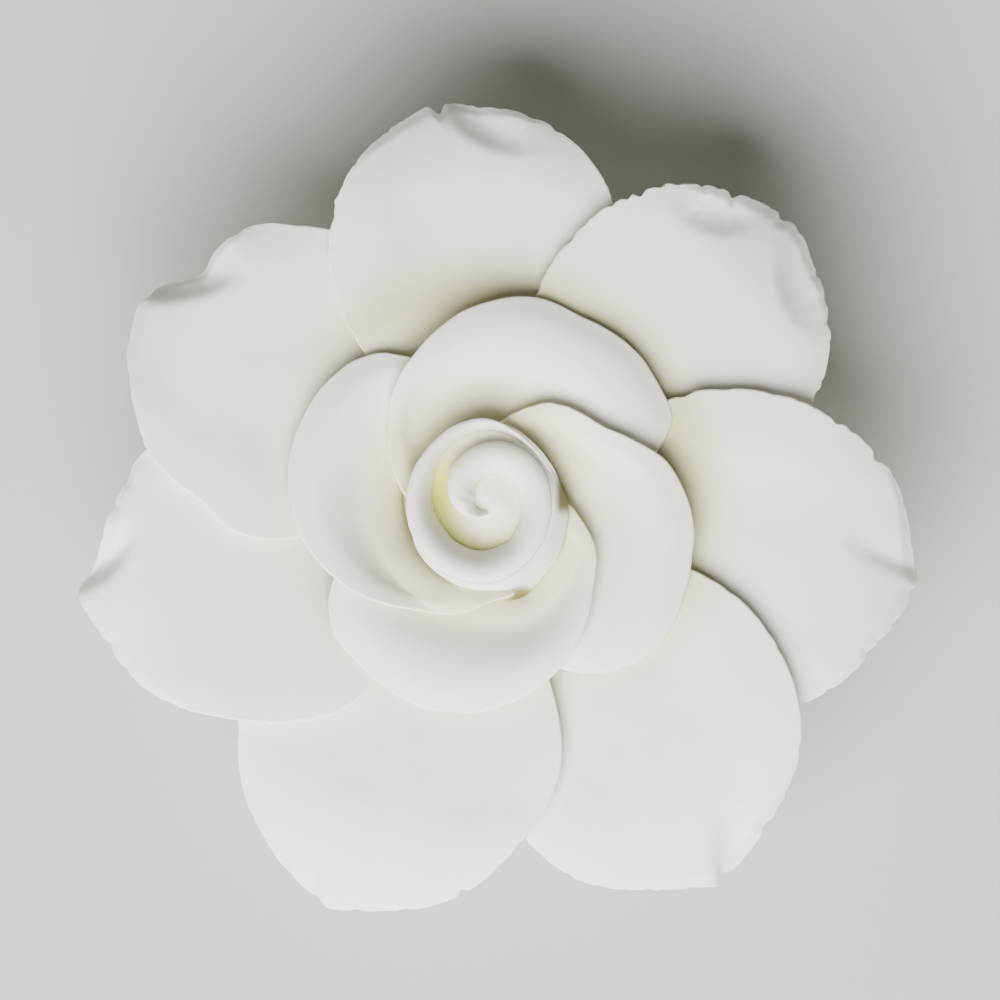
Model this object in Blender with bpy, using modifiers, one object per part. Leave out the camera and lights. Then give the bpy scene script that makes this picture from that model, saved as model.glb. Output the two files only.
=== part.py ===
"""Gardenia flower: a rolled bud and two whorls of round petals, pasted round a small cone.

Metres, +Z up. The flower's axis is Z and the foot of its cone lies on Z = 0.
Bearings are in degrees, anticlockwise from +X as seen from above.
"""
import math

import bmesh
import bpy
import numpy as np
from mathutils import Vector
from mathutils.geometry import interpolate_bezier

MM = 0.001

# Driving dimensions
PETAL_THICKNESS = 0.8 * MM
ROLL_THICKNESS = 0.6 * MM
LAYER_GAP = 0.4 * MM  # air between two overlapping petals
PETAL_CELLS = 12

OUTER_SHELF_HEIGHT = 25.6 * MM  # the petals lie level between these two radii
OUTER_SHELF_START = 22.0 * MM
OUTER_SHELF_END = 34.0 * MM
OUTER_SEAT_RADIUS = 5.45 * MM
OUTER_SEAT_DROP = 14.5 * MM  # from the shelf down to the seat on the cone
OUTER_RIM_DROP = 4.0 * MM  # from the shelf down to the rim, 12 mm further out
OUTER_RIM_REACH = 12.0 * MM
TIP_WIDTH = 0.4  # radians over which a petal's tip draws to its point
BASE_TAPER = 0.45  # share of its width that a petal loses towards its seat
SEAT_CURVE = 1.74  # how the petal's slope steepens towards its seat

MIDDLE_FOOT_RADIUS = 5.5 * MM
MIDDLE_FOOT_HEIGHT = 17.2 * MM
MIDDLE_WALL_RADIUS = 10.1 * MM
MIDDLE_WALL_HEIGHT = 25.6 * MM
MIDDLE_RIM_RADIUS = 24.0 * MM
MIDDLE_RIM_HEIGHT = 26.8 * MM
MIDDLE_EDGE_RADIUS = 8.8 * MM  # where a petal's free edge ends, beside the bud
MIDDLE_EDGE_SHARE = 0.42  # and how far up its profile the edge still reaches there
MIDDLE_TILT_AT_CREST = 1.1 * MM  # rise per radian of a petal's free edge over its neighbour
MIDDLE_CREST_START = 0.55  # share of the profile at which it eases from the wall to the crest
MIDDLE_CREST_SPAN = 0.3
MIDDLE_HOOK_START = 0.5  # share of the wrap at which the outline starts to close in
MIDDLE_COVERED_START = 0.6  # towards its covered edge the petal loses some of its length
MIDDLE_COVERED_CUT = 0.25
MIDDLE_FOOT_WIDTH = 0.4  # share of its width that a petal keeps at its foot
MIDDLE_FOOT_SHARE = 0.28
MIDDLE_CLOCKWISE_SPAN = 62.0  # degrees from a petal's bearing to its covered edge

# Handles of the middle petal's profile, each (out, up) from its knot
MIDDLE_FOOT_HANDLE = (3.4 * MM, 0.6 * MM)
MIDDLE_WALL_HANDLE = (-0.7 * MM, -4.6 * MM)
MIDDLE_CREST_HANDLE = (0.4 * MM, 2.4 * MM)
MIDDLE_RIM_HANDLE = (-4.0 * MM, 3.4 * MM)

ROLL_RIM_HEIGHT = 30.6 * MM
ROLL_START_DROP = 3.4 * MM  # the rim's start lies this much lower
ROLL_LIP = 0.8 * MM
ROLL_LEAN = 3.2 * MM
ROLL_LEAST_LEAN = 0.12 * MM
ROLL_LIP_LEANS = (1.0 * MM, 2.4 * MM)  # the lip starts at the first lean, and is full at the second
ROLL_TURN_GAP = 1.0 * MM  # least distance between two turns of the rim
ROLL_FOOT_LEAN = 2.6 * MM
ROLL_FOOT_RADIUS = 6.1 * MM
ROLL_WALL_RADIUS = 4.95 * MM  # closest that the outer turn comes to the axis, beside the cone
ROLL_EYE_RADIUS = 0.95 * MM
ROLL_FOOT_HEIGHT = 18.8 * MM
ROLL_START_LIFT = 2.9 * MM  # the foot's start lies this much higher
ROLL_RISE_END = 60  # turn at which the rim has its full height
ROLL_SINK = (0, 70)  # turns over which the foot sinks beside the cone
ROLL_CLIMB = (220, 295)  # turns over which the foot climbs above the cone's top
ROLL_CLOSING = (300, 385)  # turns over which the roll closes in over the cone
ROLL_CROWDING = 0.9  # below 1, the columns crowd towards the eye
ROLL_CLEARANCE = 0.6 * MM  # from the cone's top up to the foot of the inner turns
ROLL_COLUMNS = 84
ROLL_ROWS = 6

CONE_FOOT_RADIUS = 9.0 * MM
CONE_STEM_RADIUS = 5.1 * MM
CONE_STEM_START = 9.0 * MM
CONE_STEM_END = 17.4 * MM
CONE_NECK_RADIUS = 4.3 * MM
CONE_NECK_END = 25.4 * MM
CONE_CAP_RADIUS = 4.6 * MM
CONE_TOP_HEIGHT = 27.2 * MM
CONE_SHOULDER = 0.7 * MM
CONE_BULGE = 1.4 * MM
CONE_BULGE_HEIGHT = 2.6 * MM
CONE_FLARE = 1.8 * MM
CONE_FLARE_DROP = 4.6 * MM
CONE_STEPS = 28

# One row per petal: reach and bearing of its centre, radius, tip's turn from the bearing, tip's rise,
# its dents: (across, inward from the tip, depth, half-width, half-length),
# and where its outline swells: (turn, out, half-width of the turn)
OUTER_PETALS = (
    (
        (26.7, 92.0, 15.6, 13.0, 0.8),
        ((-5.0, 2.8, 1.5, 4.2, 2.2), (6.5, 4.0, 0.7, 3.0, 3.0)),
        ((-5, -0.3, 12), (-60, 0.25, 20)),
    ),
    (
        (27.5, 40.0, 15.8, 10.0, 1.1),
        ((4.5, 2.6, 1.4, 3.4, 2.0), (-5.5, 2.4, 1.4, 3.6, 1.8)),
        ((46, 0.3, 34), (0, 0.35, 8)),
    ),
    (
        (27.5, -11.0, 17.4, 0.0, 2.4),
        ((2.6, 2.2, 1.2, 2.2, 2.2),),
        ((35, 0.5, 16), (-22, -0.3, 12)),
    ),
    (
        (28.1, -55.0, 17.1, -9.0, 2.7),
        ((2.8, 2.6, 1.2, 2.4, 3.0),),
        ((-52, 0.65, 18), (2, 0.4, 14), (50, 0.3, 18)),
    ),
    (
        (26.6, -109.0, 17.4, -5.0, 2.4),
        ((-1.8, 3.0, 0.8, 1.6, 3.4),),
        ((64, -0.75, 22),),
    ),
    (
        (22.3, -164.0, 17.3, -6.0, 5.0),
        ((-3.0, 3.2, 1.3, 2.2, 3.6),),
        ((25, 1.4, 20), (-55, 0.8, 18), (-16, -0.6, 8)),
    ),
    (
        (23.0, 148.0, 17.2, 5.0, 2.2),
        ((-4.4, 2.6, 1.4, 3.8, 2.0),),
        ((-17, -1.8, 9), (-44, 0.6, 10), (20, 0.5, 10), (80, -1.2, 14)),
    ),
)
OUTER_START = 93.0  # bearing at which the first petal lies level
SLOPE_STEP = 0.1 * MM  # along which a slope is measured

# One row per petal: offset and bearing of its round outline's centre, its radius,
# and the turn at which its free edge meets the bud
MIDDLE_PETALS = (
    (8.4, 56.0, 15.0, 124.0),
    (8.7, -25.5, 14.5, 110.0),
    (7.8, -109.5, 14.9, 113.0),
    (6.7, 156.0, 14.6, 128.0),
)
MIDDLE_START = 60.0  # bearing at which the first petal lies level

# The inner wall of the middle whorl stands out from the bud at these bearings: (bearing, out, width)
MIDDLE_POCKETS = ((-66.0, 1.9, 24.0), (4.0, 0.5, 14.0))
MIDDLE_POCKET_START = 0.24  # share of the profile at which a pocket starts
MIDDLE_POCKET_EASE = 0.2
MIDDLE_POCKET_FADE = 0.6

# Rim of the rolled sheet: how far it has turned, and its radius there
ROLL_RIM = (
    (-90, 8.7), (-70, 9.7), (-38, 9.2), (0, 8.3), (38, 8.0), (89, 8.7), (161, 7.8), (240, 8.6), (275, 8.5),
    (320, 7.4), (362, 6.9), (418, 6.4), (477, 5.1), (536, 3.5), (614, 2.2), (650, 1.7),
)


def clear_scene():
    """Start from an empty scene."""
    for obj in list(bpy.data.objects):
        bpy.data.objects.remove(obj)


def new_collection(name):
    collection = bpy.data.collections.new(name)
    bpy.context.scene.collection.children.link(collection)
    return collection


def paste(name, colour):
    """Matt modelling paste."""
    material = bpy.data.materials.new(name)
    material.use_nodes = True
    shader = material.node_tree.nodes["Principled BSDF"]
    shader.inputs["Base Color"].default_value = (*colour, 1.0)
    shader.inputs["Roughness"].default_value = 0.62
    shader.inputs["Metallic"].default_value = 0.0
    return material


def sheet(name, collection, material, columns, rows, point, thickness, offset):
    """A closed sheet: a grid over -1..1 both ways, carried to point(p, q) and given its thickness."""
    shape = bmesh.new()
    bmesh.ops.create_grid(shape, x_segments=columns, y_segments=rows, size=1.0)
    for vertex in shape.verts:
        vertex.co = point(vertex.co.x, vertex.co.y)
    bmesh.ops.triangulate(shape, faces=shape.faces)
    bmesh.ops.recalc_face_normals(shape, faces=shape.faces)
    mesh = bpy.data.meshes.new(name)
    shape.to_mesh(mesh)
    shape.free()
    mesh.materials.append(material)
    obj = bpy.data.objects.new(name, mesh)
    collection.objects.link(obj)
    solidify = obj.modifiers.new("thickness", "SOLIDIFY")
    solidify.thickness = thickness
    solidify.offset = offset
    return obj


def turn_from(bearing, reference):
    """Radians from the reference to the bearing, between -pi and pi."""
    return (bearing - reference + math.pi) % math.tau - math.pi


def bezier(*points, steps=40):
    """A curve of (radius, height) through two knots and their handles."""
    curve = interpolate_bezier(*[Vector((r, z, 0.0)) for r, z in points], steps)
    return [(p.x, p.y) for p in curve]


def smooth_through(rows, turn):
    """Radius at a turn, eased between the rows of (turn, radius)."""
    turns = [row[0] for row in rows]
    radii = [row[1] for row in rows]
    slopes = np.gradient(radii, turns)
    i = min(max(int(np.searchsorted(turns, turn)) - 1, 0), len(rows) - 2)
    span = turns[i + 1] - turns[i]
    t = min(max((turn - turns[i]) / span, 0.0), 1.0)
    start = (1 + 2 * t) * (1 - t) ** 2 * radii[i] + t * (1 - t) ** 2 * span * slopes[i]
    end = t * t * (3 - 2 * t) * radii[i + 1] + t * t * (t - 1) * span * slopes[i + 1]
    return start + end


def ease(x, start, end):
    """0 before the start, 1 past the end, and smooth between."""
    t = min(max((x - start) / (end - start), 0.0), 1.0)
    return t * t * (3 - 2 * t)


def cone(collection, material):
    """The cone of paste that carries every petal, turned from its profile, with a flat foot."""
    bulge = (CONE_FOOT_RADIUS + CONE_BULGE, CONE_BULGE_HEIGHT)
    waist = (CONE_STEM_RADIUS + CONE_FLARE, CONE_STEM_START - CONE_FLARE_DROP)
    flare = bezier((CONE_FOOT_RADIUS, 0.0), bulge, waist, (CONE_STEM_RADIUS, CONE_STEM_START), steps=9)
    profile = [(0.0, 0.0)] + flare
    profile += [(CONE_STEM_RADIUS, CONE_STEM_END), (CONE_NECK_RADIUS, CONE_STEM_END + CONE_SHOULDER)]
    profile += [(CONE_NECK_RADIUS, CONE_NECK_END), (CONE_CAP_RADIUS, CONE_NECK_END + CONE_SHOULDER)]
    profile += [(CONE_CAP_RADIUS, CONE_TOP_HEIGHT - 0.5 * CONE_SHOULDER)]
    profile += [(CONE_CAP_RADIUS - 0.5 * CONE_SHOULDER, CONE_TOP_HEIGHT), (0.0, CONE_TOP_HEIGHT)]
    mesh = bpy.data.meshes.new("cone")
    edges = [(i, i + 1) for i in range(len(profile) - 1)]
    mesh.from_pydata([(r, 0.0, z) for r, z in profile], edges, [])
    mesh.materials.append(material)
    obj = bpy.data.objects.new("cone", mesh)
    collection.objects.link(obj)
    screw = obj.modifiers.new("turn", "SCREW")
    screw.axis = "Z"
    screw.steps = CONE_STEPS
    screw.render_steps = CONE_STEPS
    screw.use_normal_flip = True
    screw.use_merge_vertices = True
    screw.merge_threshold = 0.00001
    return obj


def roll(collection, material):
    """The bud: one sheet rolled in a spiral, its rim flared and its turns leaning in as they go down."""
    first = ROLL_RIM[0][0]
    last = ROLL_RIM[-1][0]

    def rim_radius(turn):
        return smooth_through(ROLL_RIM, min(turn, last)) * MM

    def point(p, q):
        turn = first + (last - first) * ((p + 1) / 2) ** ROLL_CROWDING
        radius = rim_radius(turn)
        rim = ROLL_RIM_HEIGHT - ROLL_START_DROP * (1 - ease(turn, first, ROLL_RISE_END))
        foot = ROLL_FOOT_HEIGHT + ROLL_START_LIFT * (1 - ease(turn, *ROLL_SINK))
        foot += (CONE_TOP_HEIGHT + ROLL_CLEARANCE - foot) * ease(turn, *ROLL_CLIMB)
        nearest = ROLL_EYE_RADIUS + (ROLL_WALL_RADIUS - ROLL_EYE_RADIUS) * (1 - ease(turn, *ROLL_CLOSING))
        room = radius - rim_radius(turn + 360) - ROLL_TURN_GAP if turn + 360 < last else ROLL_LEAN
        lean = max(min(room, ROLL_LEAN, radius - nearest), ROLL_LEAST_LEAN)
        low_lean = max(lean, min(ROLL_FOOT_LEAN, radius - ROLL_FOOT_RADIUS))
        lip = ROLL_LIP * ease(lean, *ROLL_LIP_LEANS)
        t = (1 - q) / 2
        r = radius - lean * (3 * t * (1 - t) ** 2 * 0.15 + 3 * t * t * (1 - t)) - low_lean * t**3
        crest = rim + lip
        z = rim * (1 - t) ** 3 + 3 * t * (1 - t) ** 2 * (crest + 0.3 * lip)
        z += 3 * t * t * (1 - t) * (crest - 0.3 * (rim - foot)) + t**3 * foot
        bearing = math.radians(turn)
        return (r * math.cos(bearing), r * math.sin(bearing), z)

    return sheet("bud_roll", collection, material, ROLL_COLUMNS, ROLL_ROWS, point, ROLL_THICKNESS, 0.0)


def middle_profile():
    """Up from the cone, along the bud, and out over the crest to the reflexed rim."""
    foot = np.array((MIDDLE_FOOT_RADIUS, MIDDLE_FOOT_HEIGHT))
    wall = np.array((MIDDLE_WALL_RADIUS, MIDDLE_WALL_HEIGHT))
    rim = np.array((MIDDLE_RIM_RADIUS, MIDDLE_RIM_HEIGHT))
    rising = bezier(foot, foot + MIDDLE_FOOT_HANDLE, wall + MIDDLE_WALL_HANDLE, wall)
    spreading = bezier(wall, wall + MIDDLE_CREST_HANDLE, rim + MIDDLE_RIM_HANDLE, rim)
    return np.array(rising + spreading[1:])


def middle_petal(number, row, order, collection, material):
    """A round petal wrapped against the bud: its anticlockwise edge lies over the next petal."""
    offset, bearing, radius, wrap = row
    offset *= MM
    radius *= MM
    bearing = math.radians(bearing)
    place = math.radians(MIDDLE_START - 360.0 / len(MIDDLE_PETALS) * order)
    profile = middle_profile()
    steps = np.gradient(profile, axis=0)
    normal = np.stack((-steps[:, 1], steps[:, 0]), axis=1)
    normal /= np.linalg.norm(normal, axis=1)[:, None]
    share = np.linspace(0.0, 1.0, len(profile))
    wall_tilt = (PETAL_THICKNESS + LAYER_GAP) / (math.pi / 2)
    over_crest = np.clip((share - MIDDLE_CREST_START) / MIDDLE_CREST_SPAN, 0.0, 1.0)
    tilt = wall_tilt + (MIDDLE_TILT_AT_CREST - wall_tilt) * over_crest
    clockwise = -math.radians(MIDDLE_CLOCKWISE_SPAN)
    anticlockwise = math.radians(wrap)

    def layer(angle):
        lift = tilt * turn_from(angle, place)
        moved = profile + normal * lift[:, None]
        degrees = math.degrees(angle)
        for pocket, out, width in MIDDLE_POCKETS:
            away = (degrees - pocket + 180.0) % 360.0 - 180.0
            near_wall = np.clip((share - MIDDLE_POCKET_START) / MIDDLE_POCKET_EASE, 0.0, 1.0)
            near_wall *= np.clip((1.0 - share) / MIDDLE_POCKET_FADE, 0.0, 1.0)
            moved[:, 0] += out * MM * math.exp(-((away / width) ** 2)) * near_wall
        return moved

    def round_reach(turn):
        return offset * math.cos(turn) + math.sqrt(radius**2 - (offset * math.sin(turn)) ** 2)

    def point(p, q):
        turn = clockwise + (anticlockwise - clockwise) * (p + 1) / 2
        hook = (max(turn / anticlockwise - MIDDLE_HOOK_START, 0.0) / (1 - MIDDLE_HOOK_START)) ** 2
        reach = round_reach(turn) + hook * (MIDDLE_EDGE_RADIUS - round_reach(anticlockwise))
        edge = layer(bearing + turn)
        outer = np.maximum.accumulate(edge[:, 0])
        end = float(np.interp(reach, outer, share)) if reach < outer[-1] else 1.0
        end = max(end, MIDDLE_EDGE_SHARE)
        covered = max(-p - MIDDLE_COVERED_START, 0.0) / (1 - MIDDLE_COVERED_START)
        end *= 1.0 - MIDDLE_COVERED_CUT * covered**2
        along = (q + 1) / 2 * end
        narrow = MIDDLE_FOOT_WIDTH + (1 - MIDDLE_FOOT_WIDTH) * ease(along, 0.0, MIDDLE_FOOT_SHARE)
        middle = (clockwise + anticlockwise) / 2
        angle = bearing + middle + (turn - middle) * narrow
        path = layer(angle)
        r = float(np.interp(along, share, path[:, 0]))
        z = float(np.interp(along, share, path[:, 1]))
        return (r * math.cos(angle), r * math.sin(angle), z)

    name = f"middle_petal_{number}"
    return sheet(name, collection, material, PETAL_CELLS + 6, PETAL_CELLS, point, PETAL_THICKNESS, -1.0)


def outer_petal(number, row, order, collection, material):
    """A round petal with a pinched tip, dished up from the cone and curled down at its rim."""
    (reach, bearing, radius, tip_turn, tip_rise), dents, swells = row
    reach *= MM
    bearing = math.radians(bearing)
    tip_turn = math.radians(tip_turn)
    place = math.radians(OUTER_START - 360.0 / len(OUTER_PETALS) * order)
    tip_radius = (radius + tip_rise) * MM

    def outline(turn):
        out = radius + tip_rise * math.exp(-abs(turn_from(turn, tip_turn)) / TIP_WIDTH)
        for swell_turn, swell, half_width in swells:
            away = math.degrees(turn_from(turn, math.radians(swell_turn))) / half_width
            out += swell * math.exp(-(away**2))
        return out * MM

    def height(r):
        inward = max(OUTER_SHELF_START - r, 0.0) / (OUTER_SHELF_START - OUTER_SEAT_RADIUS)
        outward = max(r - OUTER_SHELF_END, 0.0) / OUTER_RIM_REACH
        return OUTER_SHELF_HEIGHT - OUTER_SEAT_DROP * inward**SEAT_CURVE - OUTER_RIM_DROP * outward**2

    def layer(r):
        """Height of one petal over the next, so that they lie just clear on the slope."""
        rise = (height(r + SLOPE_STEP) - height(r)) / SLOPE_STEP
        return PETAL_THICKNESS * math.hypot(1.0, rise) + LAYER_GAP

    def point(p, q):
        across = p * math.sqrt(1 - q * q / 2)
        along = q * math.sqrt(1 - p * p / 2)
        turn = math.atan2(across, along)
        turn += tip_turn * (1 + math.cos(turn)) / 2
        share = math.hypot(across, along)
        along = share * outline(turn) * math.cos(turn)
        across = share * outline(turn) * math.sin(turn)
        if along < 0:
            inward = -along / outline(math.pi)
            along = -inward * (reach - OUTER_SEAT_RADIUS)
            across *= 1 - BASE_TAPER * inward**2
        x = reach + along
        r = math.hypot(x, across)
        angle = bearing + math.atan2(across, x)
        z = height(r) + layer(r) * turn_from(angle, place) / (math.tau / len(OUTER_PETALS))
        in_from_tip = tip_radius - (along * math.cos(tip_turn) + across * math.sin(tip_turn))
        beside_tip = across * math.cos(tip_turn) - along * math.sin(tip_turn)
        for beside, inward, depth, half_width, half_length in dents:
            away = ((beside_tip - beside * MM) / (half_width * MM)) ** 2
            away += ((in_from_tip - inward * MM) / (half_length * MM)) ** 2
            z -= depth * MM * math.exp(-away)
        return (r * math.cos(angle), r * math.sin(angle), z)

    name = f"outer_petal_{number}"
    return sheet(name, collection, material, PETAL_CELLS, PETAL_CELLS, point, PETAL_THICKNESS, -1.0)


def build():
    clear_scene()
    flower = new_collection("gardenia_flower")
    ivory = paste("ivory_paste", (0.80, 0.79, 0.74))
    tinted = paste("tinted_paste", (0.75, 0.74, 0.55))
    cone(flower, tinted)
    roll(flower, ivory)
    for order, row in enumerate(MIDDLE_PETALS):
        middle_petal(order + 1, row, order, flower, ivory)
    for order, row in enumerate(OUTER_PETALS):
        outer_petal(order + 1, row, order, flower, ivory)


build()
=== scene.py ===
"""Gardenia flower in hand-modelled paste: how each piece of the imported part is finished.

Metres, +Z up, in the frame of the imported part. Bearings turn anticlockwise from +X, seen from above.
"""

import math

import bmesh
import bpy
import numpy as np
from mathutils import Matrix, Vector, noise
from mathutils.geometry import interpolate_bezier


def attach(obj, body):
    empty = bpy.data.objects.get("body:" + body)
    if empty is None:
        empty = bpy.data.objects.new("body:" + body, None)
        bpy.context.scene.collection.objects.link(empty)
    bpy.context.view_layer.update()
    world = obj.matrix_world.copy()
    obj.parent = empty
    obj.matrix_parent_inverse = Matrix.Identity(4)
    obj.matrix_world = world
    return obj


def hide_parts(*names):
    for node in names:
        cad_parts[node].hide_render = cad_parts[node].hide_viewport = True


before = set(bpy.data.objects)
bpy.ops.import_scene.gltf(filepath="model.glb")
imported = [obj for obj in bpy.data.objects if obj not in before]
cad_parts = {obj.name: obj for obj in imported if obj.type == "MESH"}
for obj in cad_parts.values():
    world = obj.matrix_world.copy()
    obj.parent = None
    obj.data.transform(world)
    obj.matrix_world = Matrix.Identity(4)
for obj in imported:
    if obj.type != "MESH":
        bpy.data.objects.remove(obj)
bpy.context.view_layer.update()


# ---------------------------------------------------------------------------------------------
# The cone: a plug of paste, turned between the fingers and pressed flat at its foot, that carries
# every petal. It is left ivory below, and its top, seen at the bottom of the bud, is brushed with
# yellow-green petal dust.

MM = 0.001
IVORY = (0.902, 0.877, 0.822)
PALER_IVORY = (0.87, 0.85, 0.79)
GOLDEN_GREEN = (0.60, 0.56, 0.235)
KNEADED_RANGE = (-0.12, 0.22)  # of the blotches' noise, over which the paste turns paler
KNEADED_SHARE = 0.22
CLOUD_SCALE = 90.0  # blotches to a metre
THUMB_SCALE = 260.0
GRAIN_SCALE = 2400.0
GRAIN_RELIEF = 0.35
THUMB_RELIEF = 1.2
RELIEF = 0.12 * MM
RELIEF_STRENGTH = 0.16
PASTE_ROUGHNESS = 0.56
THUMB_ROUGHNESS = 0.14
PASTE_SHINE = 0.35
LIGHT_IN_PASTE = 0.45 * MM  # how far light travels inside it
LIGHT_IN_PASTE_BY_COLOUR = (1.0, 0.94, 0.84)

CONE_FOOT = 9.0 * MM
CONE_STEM = 5.1 * MM
CONE_STEM_START = 9.0 * MM
CONE_STEM_END = 17.4 * MM
CONE_NECK = 4.3 * MM
CONE_NECK_END = 25.4 * MM
CONE_CAP = 4.6 * MM
CONE_HEIGHT = 27.2 * MM
CONE_SHOULDER = 0.7 * MM
CONE_BULGE = 1.4 * MM
CONE_BULGE_HEIGHT = 2.6 * MM
CONE_FLARE = 1.8 * MM
CONE_FLARE_DROP = 4.6 * MM
CONE_FLAT_SHARE = 0.97  # of its foot's radius
CONE_CROWN_SHARE = 0.6
CONE_DIMPLE = 0.08 * MM
CONE_DIMPLE_EDGE = 0.05 * MM
CONE_STEPS = 96
CONE_DUST_START = 23.0 * MM
CONE_DUST_END = 26.4 * MM
CONE_DUST_SHARE = 0.9
CONE_PRESSED = 0.10 * MM
CONE_PRESSED_START = 0.4 * MM
CONE_PRESSED_SCALE = 420.0
CONE_SKIN = 0.02 * MM  # by which it stays within its solid


class Field:
    """A socket of a material's nodes. Arithmetic on it adds Math nodes."""

    def __init__(self, tree, socket=None):
        self.tree = tree
        self.socket = socket

    def add(self, kind, settings=(), sockets=(), out=0):
        """A node of this kind: its settings first, then the values or links of its sockets."""
        node = self.tree.nodes.new(kind)
        for key, value in dict(settings).items():
            setattr(node, key, value)
        for key, value in dict(sockets).items():
            if isinstance(value, Field):
                self.tree.links.new(value.socket, node.inputs[key])
            else:
                node.inputs[key].default_value = value
        return Field(self.tree, node.outputs[out])

    def maths(self, operation, first, second=0.0):
        return self.add("ShaderNodeMath", {"operation": operation}, {0: first, 1: second})

    def __add__(self, other):
        return self.maths("ADD", self, other)

    def __radd__(self, other):
        return self.maths("ADD", other, self)

    def __sub__(self, other):
        return self.maths("SUBTRACT", self, other)

    def __rsub__(self, other):
        return self.maths("SUBTRACT", other, self)

    def __mul__(self, other):
        return self.maths("MULTIPLY", self, other)

    def __truediv__(self, other):
        return self.maths("DIVIDE", self, other)

    def __pow__(self, other):
        return self.maths("POWER", self, other)

    def ramp(self, start, end):
        """0 at the start, 1 at the end, and smooth between."""
        sockets = {"Value": self, "From Min": start, "From Max": end}
        return self.add("ShaderNodeMapRange", {"interpolation_type": "SMOOTHSTEP"}, sockets)

    def tinted(self, plain, tint):
        """The plain colour, turned to the tint as far as this field says."""
        return self.add("ShaderNodeMix", {"data_type": "RGBA"}, {0: self, 6: plain, 7: tint}, out=2)


def opaque(colour):
    return (*colour, 1.0)


def modelling_paste(name, *dustings_and_shades):
    """Matt air-dry paste, a little translucent. Each tint laid over it, dust and painted shade alike, is (its
    cover at x, y, z, r; its colour).
    """
    material = bpy.data.materials.new(name)
    material.use_nodes = True
    tree = material.node_tree
    shader = tree.nodes["Principled BSDF"]
    start = Field(tree)
    place = start.add("ShaderNodeTexCoord", out="Object")
    x = start.add("ShaderNodeSeparateXYZ", (), {0: place}, out="X")
    y = start.add("ShaderNodeSeparateXYZ", (), {0: place}, out="Y")
    z = start.add("ShaderNodeSeparateXYZ", (), {0: place}, out="Z")
    r = (x * x + y * y) ** 0.5

    def mottle(scale, detail=2.0):
        return start.add("ShaderNodeTexNoise", (), {"Vector": place, "Scale": scale, "Detail": detail})

    cloud = mottle(CLOUD_SCALE)
    kneaded = (cloud - 0.5).ramp(*KNEADED_RANGE) * KNEADED_SHARE
    colour = kneaded.tinted(opaque(IVORY), opaque(PALER_IVORY))
    # Dust and painted shade are both laid on here as tints of the base colour.
    for coverage, dust_and_shade_colour in dustings_and_shades:
        colour = coverage(x, y, z, r).tinted(colour, opaque(dust_and_shade_colour))
    grain = mottle(GRAIN_SCALE, 3.0)
    thumbed = mottle(THUMB_SCALE)
    height = grain * GRAIN_RELIEF + thumbed * THUMB_RELIEF
    relief = {"Height": height, "Strength": RELIEF_STRENGTH, "Distance": RELIEF}
    bump = start.add("ShaderNodeBump", (), relief)
    roughness = PASTE_ROUGHNESS + thumbed * THUMB_ROUGHNESS
    tree.links.new(colour.socket, shader.inputs["Base Color"])
    tree.links.new(roughness.socket, shader.inputs["Roughness"])
    tree.links.new(bump.socket, shader.inputs["Normal"])
    shader.subsurface_method = "BURLEY"
    shader.inputs["Subsurface Weight"].default_value = 1.0
    shader.inputs["Subsurface Radius"].default_value = LIGHT_IN_PASTE_BY_COLOUR
    shader.inputs["Subsurface Scale"].default_value = LIGHT_IN_PASTE
    shader.inputs["Specular IOR Level"].default_value = PASTE_SHINE
    return material


def bezier(*points, steps):
    """A curve of (radius, height) through two knots and their handles."""
    curve = interpolate_bezier(*[Vector((r, z, 0.0)) for r, z in points], steps)
    return [(p.x, p.y) for p in curve]


def finish_piece(obj, node, material):
    """Give a piece its paste, and let it stand for its solid, if it has one."""
    obj.data.materials.append(material)
    obj.data.polygons.foreach_set("use_smooth", [True] * len(obj.data.polygons))
    bpy.context.scene.collection.objects.link(obj)
    if node:
        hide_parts(node)
    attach(obj, "root")


def cone_profile():
    bulge = (CONE_FOOT + CONE_BULGE, CONE_BULGE_HEIGHT)
    waist = (CONE_STEM + CONE_FLARE, CONE_STEM_START - CONE_FLARE_DROP)
    neck_start = CONE_STEM_END + CONE_SHOULDER
    cap_start = CONE_NECK_END + CONE_SHOULDER
    crown_handle = (CONE_CAP, CONE_HEIGHT - 0.1 * CONE_SHOULDER)
    crown_end = (CONE_CAP * CONE_CROWN_SHARE, CONE_HEIGHT)
    profile = [(0.0, 0.0), (CONE_FOOT * 0.5, 0.0), (CONE_FOOT * CONE_FLAT_SHARE, 0.0)]
    profile += bezier((CONE_FOOT, 0.0), bulge, waist, (CONE_STEM, CONE_STEM_START), steps=30)[1:]
    profile += [(CONE_STEM, float(z)) for z in np.linspace(CONE_STEM_START, CONE_STEM_END, 5)[1:]]
    profile += [(CONE_NECK, float(z)) for z in np.linspace(neck_start, CONE_NECK_END, 5)]
    profile += [(CONE_CAP, cap_start)]
    crown_start = (CONE_CAP, CONE_HEIGHT - CONE_SHOULDER)
    profile += bezier(crown_start, crown_handle, (CONE_CAP * 0.9, CONE_HEIGHT), crown_end, steps=12)
    return profile + [(CONE_CAP * 0.3, CONE_HEIGHT - CONE_DIMPLE_EDGE), (0.0, CONE_HEIGHT - CONE_DIMPLE)]


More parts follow.
